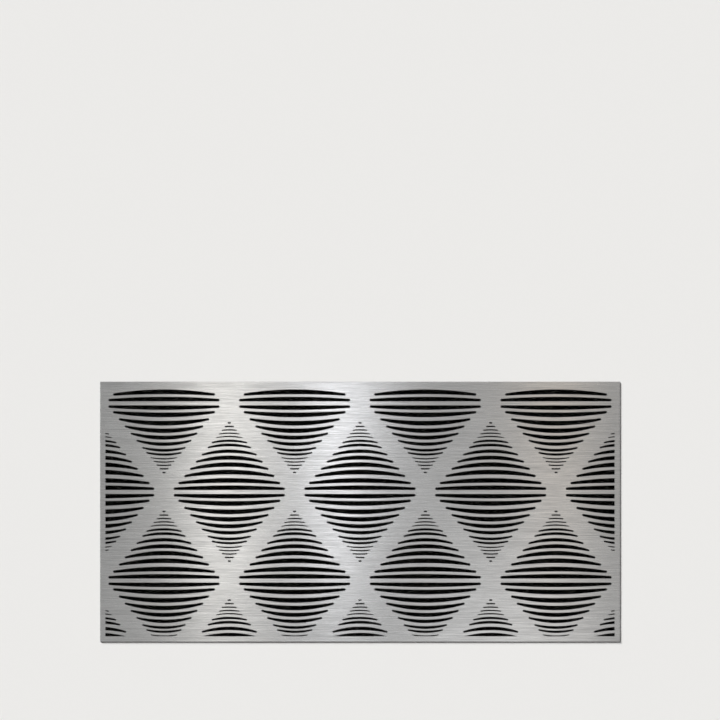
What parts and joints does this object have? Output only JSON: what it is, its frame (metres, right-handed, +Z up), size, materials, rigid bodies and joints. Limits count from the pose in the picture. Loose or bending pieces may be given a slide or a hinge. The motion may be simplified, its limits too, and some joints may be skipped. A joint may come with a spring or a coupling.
{
  "type": "decorative metal sheet",
  "caption": "Flat rectangular sheet of brushed steel, cut through with a lattice of diamonds made of bowed slots that get shorter and finer towards the tips.",
  "frame": {"origin": "middle of the underside, which rests on the floor", "axes": "+X along the length, to the right in the picture; +Y across, to its top; +Z up, out of the face that it shows"},
  "size_m": [2, 1, 0.002],
  "materials": {
    "brushed_steel": "fine brushed grain along the length, satin"
  },
  "bodies": {
    "root": {"perforated_sheet": "brushed_steel"}
  },
  "joints": []
}
